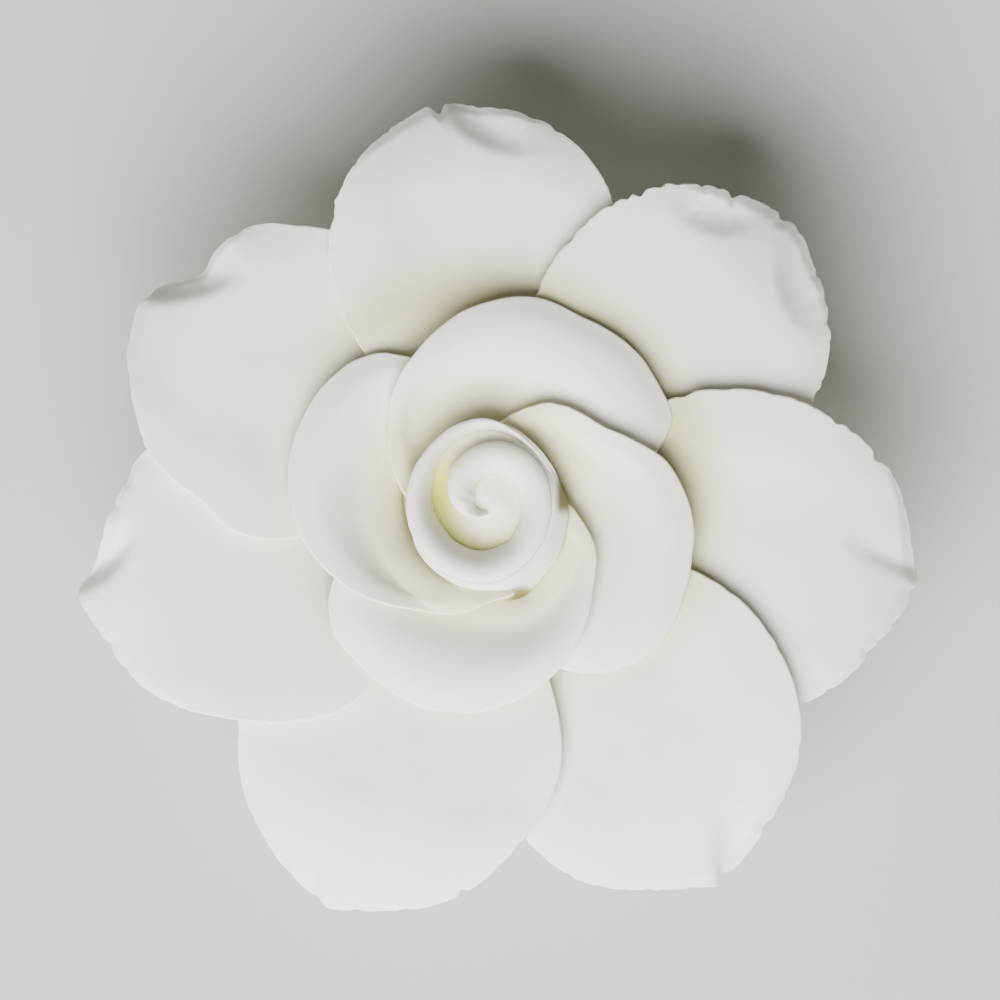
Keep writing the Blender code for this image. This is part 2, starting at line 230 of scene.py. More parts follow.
cone_mesh = bpy.data.meshes.new("cone_of_paste")
cone_shape = bmesh.new()
spine = [cone_shape.verts.new((r, 0.0, z)) for r, z in cone_profile()]
spine_edges = [cone_shape.edges.new(pair) for pair in zip(spine, spine[1:])]
bmesh.ops.spin(
    cone_shape,
    geom=spine + spine_edges,
    axis=(0.0, 0.0, 1.0),
    cent=(0.0, 0.0, 0.0),
    angle=math.tau,
    steps=CONE_STEPS,
)
bmesh.ops.remove_doubles(cone_shape, verts=cone_shape.verts, dist=0.01 * MM)
for vertex in cone_shape.verts:
    above_foot = min(max((vertex.co.z - CONE_PRESSED_START) / MM, 0.0), 1.0)
    pressed = noise.noise(vertex.co * CONE_PRESSED_SCALE) * CONE_PRESSED * above_foot
    outward = Vector((vertex.co.x, vertex.co.y, 0.0))
    if outward.length > 1.0 * MM:
        vertex.co -= outward.normalized() * (abs(pressed) + CONE_SKIN)
bmesh.ops.recalc_face_normals(cone_shape, faces=cone_shape.faces)
cone_shape.to_mesh(cone_mesh)
cone_shape.free()
cone_paste = modelling_paste(
    "cone_paste", (lambda x, y, z, r: z.ramp(CONE_DUST_START, CONE_DUST_END) * CONE_DUST_SHARE, GOLDEN_GREEN)
)
finish_piece(bpy.data.objects.new("cone_of_paste", cone_mesh), "cone", cone_paste)


# ---------------------------------------------------------------------------------------------
# The rolled bud: one strip of paste, rolled out thin with a ball tool and wound round the cone's
# top in a spiral, its upper rim turned outwards. The rim is left as the knife cut it. Low between
# the turns it is tinted yellow-green, part dust and part painted shade, the shade strongest on the
# near side; the inside of the rim's far side carries painted shade too.

ROLL_THICKNESS = 0.6 * MM
ROLL_RIM_HEIGHT = 30.6 * MM
ROLL_START_DROP = 3.4 * MM
ROLL_LIP = 0.8 * MM
ROLL_LEAN = 3.2 * MM
ROLL_LEAST_LEAN = 0.12 * MM
ROLL_LIP_LEANS = (1.0 * MM, 2.4 * MM)
ROLL_TURN_GAP = 0.75 * MM
ROLL_FOOT_LEAN = 2.6 * MM
ROLL_FOOT_RADIUS = 6.1 * MM
ROLL_WALL_RADIUS = 4.95 * MM
ROLL_EYE_RADIUS = 0.95 * MM
ROLL_FOOT_HEIGHT = 18.8 * MM
ROLL_START_LIFT = 2.9 * MM
ROLL_RISE_END = 60
ROLL_SINK = (0, 70)
ROLL_CLIMB = (130, 230)
ROLL_CLOSING = (300, 385)
ROLL_SHALLOW = (290, 430)
ROLL_SHALLOW_LIFT = 1.5 * MM
ROLL_DEEPER = (470, 545)
ROLL_DEEPER_DROP = 1.2 * MM
ROLL_CROWDING = 0.9
ROLL_CLEARANCE = 0.6 * MM
ROLL_COLUMNS = 200
ROLL_ROWS = 20
ROLL_RIM = (  # (turn, radius in mm), from the outermost turn to the eye
    (-90, 8.7), (-70, 9.7), (-38, 9.2), (0, 8.4), (45, 8.05), (90, 8.9), (135, 8.25),
    (180, 8.1), (240, 8.4), (275, 8.4), (320, 7.6), (364, 7.25), (406, 7.15), (439, 6.6),
    (471, 5.6), (508, 4.3), (532, 3.4), (567, 2.3), (610, 1.7), (650, 1.35),
)
ROLL_END_SINK = (530, 650)
ROLL_END_DROP = 0.9 * MM
ROLL_TURNS = [row[0] for row in ROLL_RIM]
ROLL_RADII = [row[1] for row in ROLL_RIM]
ROLL_SLOPES = np.gradient(ROLL_RADII, ROLL_TURNS)
ROLL_LEAN_SHARES = (0.3, 0.85)  # of the lean that is reached a third and two thirds of the way down
ROLL_LIP_CURL = 0.3
ROLL_WALL_FALL = 0.18
ROLL_CUT = 0.10 * MM  # by which the knife strayed
ROLL_NICKS = 0.05 * MM
ROLL_THIN_SHARE = 0.8
ROLL_EDGES = (0.01, 0.2)
# Dust with painted shade: the bud's walls are tinted low down, and more on the side towards the light.
BUD_DUST_AND_SHADE_HEIGHTS = (27.4 * MM, 29.0 * MM)
BUD_SHADE_SIDE = (-3.0 * MM, 6.0 * MM)  # in x + y, over which it gets less
# Painted shade on the inside of the rim's far side.
WALL_SHADE = (0.77, 0.755, 0.64)
WALL_SHADE_SIDE = (2.0 * MM, 6.5 * MM)  # in y
WALL_SHADE_RADII = (8.1 * MM, 8.9 * MM)


def ease(x, start, end):
    """0 before the start, 1 past the end, and smooth between."""
    t = min(max((x - start) / (end - start), 0.0), 1.0)
    return t * t * (3 - 2 * t)


def wander(seed, *place):
    """Smooth noise of a few units, -1 to 1, that differs from seed to seed."""
    return noise.noise(Vector((*place, 0.0, 0.0)[:3]) + Vector((seed * 7.3, seed * 3.1, seed * 5.7)))


def unsettled(p, q):
    return 0.0


def paste_sheet(name, cells, point, body, offset, edges, settle=unsettled):
    """A sheet of paste, rolled out on a grid over -1..1 both ways and carried to point(p, q).

    Its body is (thickness, the share of it left at an edge), and it thins within the edges, (p, q) widths.
    settle(p, q) lowers it on what lies below.
    """
    edge_p, edge_q = edges
    thickness, thin_share = body
    shape = bmesh.new()
    bmesh.ops.create_grid(shape, x_segments=cells[0], y_segments=cells[1], size=1.0)
    weights = shape.verts.layers.deform.verify()
    lowered = {}
    for vertex in shape.verts:
        p, q = vertex.co.x, vertex.co.y
        vertex[weights][0] = ease(1 - abs(p), 0.0, edge_p) * ease(1 - abs(q), 0.0, edge_q)
        lowered[vertex] = settle(p, q)
        vertex.co = point(p, q)
    bmesh.ops.recalc_face_normals(shape, faces=shape.faces)
    shape.normal_update()
    down = {}
    for vertex in shape.verts:
        around = (face for edge in vertex.link_edges for face in edge.other_vert(vertex).link_faces)
        normal = sum((face.normal * face.calc_area() for face in dict.fromkeys(around)), Vector())
        down[vertex] = normal.normalized() * lowered[vertex]
    for vertex in shape.verts:
        vertex.co -= down[vertex]
    mesh = bpy.data.meshes.new(name)
    shape.to_mesh(mesh)
    shape.free()
    obj = bpy.data.objects.new(name, mesh)
    obj.vertex_groups.new(name="full_thickness")
    solidify = obj.modifiers.new("thickness", "SOLIDIFY")
    solidify.thickness = thickness
    solidify.offset = offset
    solidify.vertex_group = "full_thickness"
    solidify.thickness_vertex_group = thin_share
    rounding = obj.modifiers.new("rounding", "SUBSURF")
    rounding.levels = 1
    rounding.render_levels = 1
    return obj


def roll_radius(turn):
    """The rim's radius at a turn of the roll, eased between the rows of ROLL_RIM."""
    turn = min(turn, ROLL_TURNS[-1])
    i = min(max(int(np.searchsorted(ROLL_TURNS, turn)) - 1, 0), len(ROLL_RIM) - 2)
    span = ROLL_TURNS[i + 1] - ROLL_TURNS[i]
    t = min(max((turn - ROLL_TURNS[i]) / span, 0.0), 1.0)
    start = (1 + 2 * t) * (1 - t) ** 2 * ROLL_RADII[i] + t * (1 - t) ** 2 * span * ROLL_SLOPES[i]
    end = t * t * (3 - 2 * t) * ROLL_RADII[i + 1] + t * t * (t - 1) * span * ROLL_SLOPES[i + 1]
    return (start + end) * MM


def roll_point(p, q):
    first = ROLL_TURNS[0]
    last = ROLL_TURNS[-1]
    turn = first + (last - first) * ((p + 1) / 2) ** ROLL_CROWDING
    radius = roll_radius(turn)
    rim = ROLL_RIM_HEIGHT - ROLL_START_DROP * (1 - ease(turn, first, ROLL_RISE_END))
    rim -= ROLL_END_DROP * ease(turn, *ROLL_END_SINK)
    foot = ROLL_FOOT_HEIGHT + ROLL_START_LIFT * (1 - ease(turn, *ROLL_SINK))
    foot += (CONE_HEIGHT + ROLL_CLEARANCE - foot) * ease(turn, *ROLL_CLIMB)
    foot += ROLL_SHALLOW_LIFT * ease(turn, *ROLL_SHALLOW) - ROLL_DEEPER_DROP * ease(turn, *ROLL_DEEPER)
    nearest = ROLL_EYE_RADIUS + (ROLL_WALL_RADIUS - ROLL_EYE_RADIUS) * (1 - ease(turn, *ROLL_CLOSING))
    room = radius - roll_radius(turn + 360) - ROLL_TURN_GAP if turn + 360 < last else ROLL_LEAN
    lean = max(min(room, ROLL_LEAN, radius - nearest), ROLL_LEAST_LEAN)
    low_lean = max(lean, min(ROLL_FOOT_LEAN, radius - ROLL_FOOT_RADIUS))
    lip = ROLL_LIP * ease(lean, *ROLL_LIP_LEANS)
    t = (1 - q) / 2
    upper, lower = ROLL_LEAN_SHARES
    r = radius - lean * (3 * t * (1 - t) ** 2 * upper + 3 * t * t * (1 - t) * lower) - low_lean * t**3
    crest = rim + lip
    z = rim * (1 - t) ** 3 + 3 * t * (1 - t) ** 2 * (crest + ROLL_LIP_CURL * lip)
    z += 3 * t * t * (1 - t) * (crest - ROLL_WALL_FALL * (rim - foot)) + t**3 * foot
    bearing = math.radians(turn)
    r += (ROLL_CUT * wander(3, turn * 0.11) + ROLL_NICKS * wander(5, turn * 0.4)) * (1 - t) ** 6
    return (r * math.cos(bearing), r * math.sin(bearing), z)


def bud_dust_and_shade(x, y, z, r):
    """Yellow-green dust with painted shade: low on the walls, where the turns shade each other, and less on
    the far side of the bud.
    """
    low = (1 - z.ramp(*BUD_DUST_AND_SHADE_HEIGHTS)) * 0.8
    return low * (1 - (x + y).ramp(*BUD_SHADE_SIDE) * 0.7)


def wall_painted_shade(x, y, z, r):
    """Painted shade, all the way up the inside of the rim, on its far side."""
    return y.ramp(*WALL_SHADE_SIDE) * (1 - r.ramp(*WALL_SHADE_RADII)) * 0.7


bud_paste = modelling_paste("bud_paste", (bud_dust_and_shade, GOLDEN_GREEN), (wall_painted_shade, WALL_SHADE))
rolled_bud = paste_sheet(
    "rolled_bud", (ROLL_COLUMNS, ROLL_ROWS), roll_point, (ROLL_THICKNESS, ROLL_THIN_SHARE), 0.0, ROLL_EDGES
)
finish_piece(rolled_bud, "bud_roll", bud_paste)


# ---------------------------------------------------------------------------------------------
# The heart of the bud: a pinch of dusted paste on the cone's top, smoothed out with a ball tool
# until it meets the roll's wall all round, and drawn up into the roll's last turn. Its yellow-green
# is part dust and part painted shade, deepest on the near side where the roll's lip shades it.

HEART_HEIGHT = 28.1 * MM
HEART_RISE = 1.4 * MM
HEART_RISE_START = -3.6 * MM
HEART_RISE_END = 1.4 * MM
HEART_WALL_PLACE = 6.0 * MM
HEART_PALE_PLACE = (0.6 * MM, -0.9 * MM)
HEART_PALE_RADII = (1.2 * MM, 5.0 * MM)
# Painted shade with dust: the heart's tint is strongest on the near side, in the shade of the roll's lip.
HEART_SHADE_SIDE = (-3.0 * MM, 6.5 * MM)  # in x + y, over which it gets less
WALL_STEPS = 60
HEART_RINGS = 30
HEART_STEPS = 140
HEART_START = -90.0
HEART_BEHIND = (-60.0, -10.0)  # bearings over which it passes from the second turn to the first
HEART_THICKNESS = 0.5 * MM
HEART_UNEVEN, HEART_UNEVEN_SCALE = 0.06 * MM, 500.0
HEART_GREEN = (0.57, 0.53, 0.19)


def ring_strip(name, rings):
    """A sheet over closed rings of places, each ring joined to the next."""
    shape = bmesh.new()
    circles = [[shape.verts.new(place) for place in ring] for ring in rings]
    for inner, outer in zip(circles, circles[1:]):
        for i, corner in enumerate(inner):
            j = (i + 1) % len(inner)
            shape.faces.new((corner, outer[i], outer[j], inner[j]))
    mesh = bpy.data.meshes.new(name)
    shape.to_mesh(mesh)
    shape.free()
    return mesh


def lay_in(name, mesh, thickness, material):
    """A pinch of paste that is laid in between the main pieces, and stands for no solid of its own."""
    obj = bpy.data.objects.new(name, mesh)
    body = obj.modifiers.new("body", "SOLIDIFY")
    body.thickness = thickness
    body.offset = -1.0
    finish_piece(obj, None, material)


def wall_radius(turn, height):
    """Radius of the roll's wall where it passes this height at this turn."""
    share_of_turn = (turn - ROLL_TURNS[0]) / (ROLL_TURNS[-1] - ROLL_TURNS[0])
    p = 2 * share_of_turn ** (1 / ROLL_CROWDING) - 1
    wall = [roll_point(p, 1 - 2 * step / WALL_STEPS) for step in range(WALL_STEPS // 3, WALL_STEPS + 1)]
    x, y, z = min(wall, key=lambda place: abs(place[2] - height))
    return math.hypot(x, y)


def heart_height(x, y):
    """Low where the pit is deepest, and rising to the side where the roll's last turn lies."""
    across = (x + y) / math.sqrt(2.0)
    rise = HEART_RISE * ease(across, HEART_RISE_START, HEART_RISE_END)
    uneven = HEART_UNEVEN * wander(31, x * HEART_UNEVEN_SCALE, y * HEART_UNEVEN_SCALE)
    return HEART_HEIGHT + rise + uneven


def heart_radius(bearing):
    """Out to the wall: behind the roll's second turn first, and then along its first turn."""
    turn = math.radians(bearing)
    height = heart_height(HEART_WALL_PLACE * math.cos(turn), HEART_WALL_PLACE * math.sin(turn))
    first_turn = wall_radius(bearing, height)
    if bearing > HEART_BEHIND[1]:
        return first_turn
    second_turn = wall_radius(bearing + 360.0, height)
    return second_turn + (first_turn - second_turn) * ease(bearing, *HEART_BEHIND)


def heart_place(share, bearing):
    r = heart_radius(bearing) * share
    turn = math.radians(bearing)
    x = r * math.cos(turn)
    y = r * math.sin(turn)
    return (x, y, heart_height(x, y))


heart_bearings = [HEART_START + 360.0 * step / HEART_STEPS for step in range(HEART_STEPS)]
heart_shares = [ring / HEART_RINGS for ring in range(HEART_RINGS + 1)]
heart_mesh = ring_strip(
    "bud_heart", [[heart_place(share, bearing) for bearing in heart_bearings] for share in heart_shares]
)


def heart_dust_and_shade(x, y, z, r):
    """Dust with painted shade: deepest at the foot of the wall on the near side, in the lip's shadow, and
    paler to the middle.
    """
    from_pale = ((x - HEART_PALE_PLACE[0]) ** 2 + (y - HEART_PALE_PLACE[1]) ** 2) ** 0.5
    return (0.12 + from_pale.ramp(*HEART_PALE_RADII) * 0.88) * (1 - (x + y).ramp(*HEART_SHADE_SIDE) * 0.8)


heart_paste = modelling_paste("heart_paste", (heart_dust_and_shade, HEART_GREEN))
lay_in("bud_heart", heart_mesh, HEART_THICKNESS, heart_paste)


# ---------------------------------------------------------------------------------------------
# The skirt of the bud: where the strip starts, its end is smoothed down over the roll with a bone
# tool, so that the rim runs out in a slope towards the feet of the middle petals. A soft ring of
# the same paste is squeezed out below it. The skirt's low slope is tinted with dust and painted
# shade, its foot and the openings beside it with painted shade, and the squeezed ring is coloured
# dark olive all over as painted shade.

SKIRT_EDGE = (  # (bearing, radius, drop from the rim to the edge, drop at the rim), in mm
    (-165.0, 7.3, 0.5, 0.6), (-150.0, 7.8, 0.5, 0.4), (-135.0, 8.15, 0.6, 0.1), (-118.0, 8.4, 0.9, 0.0),
    (-102.0, 8.8, 1.6, 0.0), (-92.0, 9.3, 2.4, 0.0), (-82.0, 9.8, 3.4, 0.0), (-74.0, 10.5, 4.3, 0.0),
    (-69.0, 11.0, 4.7, 0.0), (-62.0, 10.5, 4.0, 0.0), (-50.0, 9.8, 2.9, 0.0), (-38.0, 9.6, 2.3, 0.0),
    (-20.0, 9.0, 1.7, 0.0), (0.0, 8.75, 1.3, 0.0), (14.0, 8.2, 1.0, 0.2), (28.0, 7.9, 0.9, 0.5),
    (44.0, 7.8, 1.0, 0.7), (62.0, 7.8, 1.5, 1.2),
)
SKIRT_TUCK = 0.25 * MM
SKIRT_BELOW_RIM = 0.15 * MM
SKIRT_THIN_SHARE = 0.6
# Dust with painted shade, growing down the skirt's slope.
SKIRT_DUST_AND_SHADE = (0.76, 0.72, 0.48)
SKIRT_DUST_AND_SHADE_HEIGHTS = (26.6 * MM, 30.0 * MM)
# Painted shade, dark olive, where the skirt runs deep.
CREVICE_SHADE = (0.34, 0.29, 0.12)
CREVICE_SHADE_HEIGHTS = (26.2 * MM, 28.6 * MM)
# Painted shadow, near black olive, in the two openings beside the skirt.
OPENING_SHADE = (0.20, 0.165, 0.06)
OPENING_SIDE_RADII = (7.5 * MM, 8.3 * MM)
OPENING_SIDE_Y = 0.9 * MM
OPENING_SIDE_FADE = (1.0, 6.0)  # in mm squared, as the next
OPENING_TIP = (4.1 * MM, -10.3 * MM)
OPENING_TIP_FADE = (0.2, 3.6)
SKIRT_STEPS = 170
SKIRT_ROWS = 18
SQUEEZED_INNER = 6.4 * MM
SQUEEZED_OUTER = 10.6 * MM
SQUEEZED_HEIGHT = 25.8 * MM
SQUEEZED_THICKNESS = 0.6 * MM
SQUEEZED_STEPS = 180
SQUEEZED_RINGS = 8
SQUEEZED_UNEVEN, SQUEEZED_UNEVEN_SCALE = 0.25 * MM, 300.0
# Painted shade: the squeezed ring is coloured dark olive over all its width.
SQUEEZED_SHADE = (0.42, 0.37, 0.18)
SQUEEZED_SHADE_RADII = (11.0 * MM, 14.0 * MM)


def skirt_point(p, q):
    bearing = SKIRT_EDGE[0][0] + (SKIRT_EDGE[-1][0] - SKIRT_EDGE[0][0]) * (p + 1) / 2
    bearings, *edge = zip(*SKIRT_EDGE)
    reach, drop, sag = [float(np.interp(bearing, bearings, row)) * MM for row in edge]
    rim = roll_radius(bearing + 360.0) - SKIRT_TUCK
    t = (q + 1) / 2
    r = rim + (reach - rim) * t
    z = ROLL_RIM_HEIGHT - SKIRT_BELOW_RIM - drop * t**1.6 - sag * (1 - t**3)
    turn = math.radians(bearing)
    return (r * math.cos(turn), r * math.sin(turn), z)


def opening_shade_at_side(x, y, z, r):
    """Painted shadow in the dark wedge between the skirt and the second petal."""
    away = (y - OPENING_SIDE_Y) ** 2 / MM / MM
    return x.ramp(*OPENING_SIDE_RADII) * (1 - away.ramp(*OPENING_SIDE_FADE))


def opening_shade_at_tip(x, y, z, r):
    """Painted shadow in the dark corner where the skirt's tip, the third petal and the fourth meet."""
    away = ((x - OPENING_TIP[0]) ** 2 + (y - OPENING_TIP[1]) ** 2) / MM / MM
    return 1 - away.ramp(*OPENING_TIP_FADE)


skirt_paste = modelling_paste(
    "skirt_paste",
    (lambda x, y, z, r: (1 - z.ramp(*SKIRT_DUST_AND_SHADE_HEIGHTS)) * 0.8, SKIRT_DUST_AND_SHADE),
    (lambda x, y, z, r: 1 - z.ramp(*CREVICE_SHADE_HEIGHTS), CREVICE_SHADE),
    (opening_shade_at_side, OPENING_SHADE),
    (opening_shade_at_tip, OPENING_SHADE),
)
bud_skirt = paste_sheet(
    "bud_skirt", (SKIRT_STEPS, SKIRT_ROWS), skirt_point, (ROLL_THICKNESS, SKIRT_THIN_SHARE), -1.0, ROLL_EDGES
)
finish_piece(bud_skirt, None, skirt_paste)


def squeezed_place(share, turn):
    r = SQUEEZED_INNER + (SQUEEZED_OUTER - SQUEEZED_INNER) * share
    x = r * math.cos(turn)
    y = r * math.sin(turn)
    uneven = SQUEEZED_UNEVEN * wander(33, x * SQUEEZED_UNEVEN_SCALE, y * SQUEEZED_UNEVEN_SCALE)
    return (x, y, SQUEEZED_HEIGHT + uneven)


squeezed_turns = [math.tau * step / SQUEEZED_STEPS for step in range(SQUEEZED_STEPS)]
squeezed_shares = [ring / SQUEEZED_RINGS for ring in range(SQUEEZED_RINGS + 1)]
squeezed_mesh = ring_strip(
    "squeezed_paste", [[squeezed_place(share, turn) for turn in squeezed_turns] for share in squeezed_shares]
)
# Painted shade: the squeezed ring, seen only down the gaps, takes the colour of the shade there.
squeezed_paste = modelling_paste(
    "squeezed_paste", (lambda x, y, z, r: 1 - r.ramp(*SQUEEZED_SHADE_RADII), SQUEEZED_SHADE)
)
lay_in("squeezed_paste", squeezed_mesh, SQUEEZED_THICKNESS, squeezed_paste)


# ---------------------------------------------------------------------------------------------
# The middle whorl: four round petals cut from thin paste, each wrapped against the bud and
# rolled back over the finger. Each one's free edge is pasted over the next petal, and tucks in
# beside the bud.

PETAL_THICKNESS = 0.8 * MM
LAYER_GAP = 0.4 * MM
MIDDLE_FOOT_RADIUS = 5.5 * MM
MIDDLE_FOOT_HEIGHT = 17.2 * MM
MIDDLE_WALL_RADIUS = 9.7 * MM
MIDDLE_WALL_HEIGHT = 25.7 * MM
MIDDLE_TROUGH_RADIUS = 12.2 * MM
MIDDLE_TROUGH_HEIGHT = 26.8 * MM
MIDDLE_CREST_RADIUS = 18.4 * MM
MIDDLE_CREST_HEIGHT = 28.5 * MM
MIDDLE_RIM_RADIUS = 24.0 * MM
MIDDLE_RIM_HEIGHT = 27.7 * MM
MIDDLE_EDGE_SHARE = 0.42
MIDDLE_TILT_AT_CREST = 0.9 * MM
MIDDLE_CREST_START = 0.55
MIDDLE_CREST_SPAN = 0.3
MIDDLE_HOOK_START = 0.5
MIDDLE_COVERED_START = 0.6
MIDDLE_COVERED_CUT = 0.25
MIDDLE_FOOT_WIDTH = 0.4
MIDDLE_FOOT_SHARE = 0.28
MIDDLE_CLOCKWISE_SPAN = 62.0
MIDDLE_SETTLE = 1.0 * MM
RIM_CROWDING = 0.55
MIDDLE_COLUMNS = 76
MIDDLE_ROWS = 46
MIDDLE_SETTLE_REACH = 0.8  # in q, back from the rim
MIDDLE_SETTLE_SIDE = (-0.3, 0.5)  # in p, towards the free edge
MIDDLE_CUT = 0.16  # mm
MIDDLE_NICKS = 0.12
MIDDLE_THIN_SHARE = 0.4
MIDDLE_EDGES = (0.07, 0.35)
# Yellow near the bud, part dust and part painted shade in the crevices.
MIDDLE_DUST_AND_SHADE = (0.76, 0.72, 0.46)
MIDDLE_DUST_AND_SHADE_RADII = (8.5 * MM, 16.0 * MM)
# Painted shade, olive, on the petals' low parts beside the bud.
MIDDLE_DEEP_SHADE = (0.44, 0.39, 0.19)
MIDDLE_DEEP_SHADE_HEIGHTS = (25.2 * MM, 26.4 * MM)
# Each petal: (offset of its circle from the axis, bearing, radius, wrap, radius at its free end, power of
# the hook there, plumpness over its trough), and its outline's swells: (bearing, swell, half width).
MIDDLE_PETALS = (
    ((8.4, 56.0, 15.0, 124.0, 8.8, 2.0, 0.0), ((60.0, -0.9, 12.0), (129.0, 0.6, 10.0), (24.0, 0.8, 6.0))),
    ((8.7, -25.5, 14.5, 110.0, 8.8, 2.0, 0.0), ((30.0, -1.5, 14.0), (-42.0, 1.2, 16.0), (56.0, 0.4, 8.0))),
    ((7.8, -109.5, 14.9, 110.0, 9.6, 3.4, 0.0), ((-124.0, -0.5, 12.0), (-24.0, 0.5, 7.0))),
    ((6.7, 156.0, 14.6, 133.0, 10.9, 3.0, 0.9), ((113.0, -0.6, 8.0),)),
)
MIDDLE_START = 60.0
# Where the trough moves out: (bearing, by how many mm, half width).
MIDDLE_POCKETS = ((-66.0, 1.9, 24.0), (4.0, 0.5, 14.0))
MIDDLE_POCKET_START = 0.24
MIDDLE_POCKET_EASE = 0.2
MIDDLE_POCKET_FADE = 0.6
MIDDLE_PLUMP_FROM = 195.0
MIDDLE_PLUMP_TO = 235.0
MIDDLE_PLUMP_RADIUS = 10.2 * MM
MIDDLE_PLUMP_SPREAD = 1.9 * MM


def turn_from(bearing, reference):
    """Radians from the reference to the bearing, between -pi and pi."""
    return (bearing - reference + math.pi) % math.tau - math.pi


def middle_profile():
    """Up from the cone beside the bud, out over the trough, and up to the crest and the soft rim.

    Each curve is (start, its handle, the end's handle, end, steps), with handles in mm from their ends.
    """
    foot = (MIDDLE_FOOT_RADIUS, MIDDLE_FOOT_HEIGHT)
    wall = (MIDDLE_WALL_RADIUS, MIDDLE_WALL_HEIGHT)
    trough = (MIDDLE_TROUGH_RADIUS, MIDDLE_TROUGH_HEIGHT)
    crest = (MIDDLE_CREST_RADIUS, MIDDLE_CREST_HEIGHT)
    rim = (MIDDLE_RIM_RADIUS, MIDDLE_RIM_HEIGHT)
    profile = [foot]
    for start, leaving, arriving, end, steps in (
        (foot, (3.4, 0.6), (-0.5, -4.6), wall, 160),
        (wall, (0.1, 0.6), (-1.0, -0.1), trough, 41),
        (trough, (2.2, 0.2), (-2.6, 0.0), crest, 71),
        (crest, (2.2, 0.0), (-1.8, 0.4), rim, 51),
    ):
        first_handle = (start[0] + leaving[0] * MM, start[1] + leaving[1] * MM)
        second_handle = (end[0] + arriving[0] * MM, end[1] + arriving[1] * MM)
        profile += bezier(start, first_handle, second_handle, end, steps=steps)[1:]
    return np.array(profile)


def middle_petal(number, row, order):
    (offset, bearing, radius, wrap, end_radius, hook_power, plumpness), swells = row
    offset *= MM
    radius *= MM
    end_radius *= MM
    bearing = math.radians(bearing)
    place = math.radians(MIDDLE_START - 360.0 / len(MIDDLE_PETALS) * order)
    profile = middle_profile()
    steps = np.gradient(profile, axis=0)
    normal = np.stack((-steps[:, 1], steps[:, 0]), axis=1)
    normal /= np.linalg.norm(normal, axis=1)[:, None]
    share = np.linspace(0.0, 1.0, len(profile))
    wall_tilt = (PETAL_THICKNESS + LAYER_GAP) / (math.pi / 2)
    over_crest = np.clip((share - MIDDLE_CREST_START) / MIDDLE_CREST_SPAN, 0.0, 1.0)
    tilt = wall_tilt + (MIDDLE_TILT_AT_CREST - wall_tilt) * over_crest
    near_wall = np.clip((share - MIDDLE_POCKET_START) / MIDDLE_POCKET_EASE, 0.0, 1.0)
    near_wall *= np.clip((1.0 - share) / MIDDLE_POCKET_FADE, 0.0, 1.0)
    clockwise = -math.radians(MIDDLE_CLOCKWISE_SPAN)
    anticlockwise = math.radians(wrap)

    def layer(angle):
        lift = tilt * turn_from(angle, place)
        moved = profile + normal * lift[:, None]
        degrees = math.degrees(angle)
        for pocket, out, width in MIDDLE_POCKETS:
            away = (degrees - pocket + 180.0) % 360.0 - 180.0
            moved[:, 0] += out * MM * math.exp(-((away / width) ** 2)) * near_wall
        plump = plumpness * MM * ease(degrees, MIDDLE_PLUMP_FROM, MIDDLE_PLUMP_TO)
        moved[:, 1] += plump * np.exp(-(((profile[:, 0] - MIDDLE_PLUMP_RADIUS) / MIDDLE_PLUMP_SPREAD) ** 2))
        return moved

    def round_reach(turn):
        return offset * math.cos(turn) + math.sqrt(radius**2 - (offset * math.sin(turn)) ** 2)

    def point(p, q):
        q += RIM_CROWDING * (1 - q * q) / 2
        turn = clockwise + (anticlockwise - clockwise) * (p + 1) / 2
        hook = (max(turn / anticlockwise - MIDDLE_HOOK_START, 0.0) / (1 - MIDDLE_HOOK_START)) ** hook_power
        reach = round_reach(turn) + hook * (end_radius - round_reach(anticlockwise))
        cut = MIDDLE_CUT * wander(number, turn * 9.0) + MIDDLE_NICKS * wander(number + 9, turn * 30.0)
        for swell_bearing, swell, half_width in swells:
            away = math.degrees(turn_from(bearing + turn, math.radians(swell_bearing))) / half_width
            cut += swell * math.exp(-(away**2))
        reach += cut * MM * ease(q, 0.0, 1.0)
        edge = layer(bearing + turn)
        outer = np.maximum.accumulate(edge[:, 0])
        end = float(np.interp(reach, outer, share)) if reach < outer[-1] else 1.0
        end = max(end, MIDDLE_EDGE_SHARE)
        covered = max(-p - MIDDLE_COVERED_START, 0.0) / (1 - MIDDLE_COVERED_START)
        end *= 1.0 - MIDDLE_COVERED_CUT * covered**2
        along = (q + 1) / 2 * end
        narrow = MIDDLE_FOOT_WIDTH + (1 - MIDDLE_FOOT_WIDTH) * ease(along, 0.0, MIDDLE_FOOT_SHARE)
        middle = (clockwise + anticlockwise) / 2
        angle = bearing + middle + (turn - middle) * narrow
        path = layer(angle)
        r = float(np.interp(along, share, path[:, 0]))
        z = float(np.interp(along, share, path[:, 1]))
        return (r * math.cos(angle), r * math.sin(angle), z)

    def settle(p, q):
        return MIDDLE_SETTLE * (1 - ease(1 - q, 0.0, MIDDLE_SETTLE_REACH)) * ease(p, *MIDDLE_SETTLE_SIDE)

    name = f"wrapped_petal_{number}"
    body = (PETAL_THICKNESS, MIDDLE_THIN_SHARE)
    petal = paste_sheet(name, (MIDDLE_COLUMNS, MIDDLE_ROWS), point, body, -1.0, MIDDLE_EDGES, settle)
    finish_piece(petal, f"middle_petal_{number}", middle_paste)


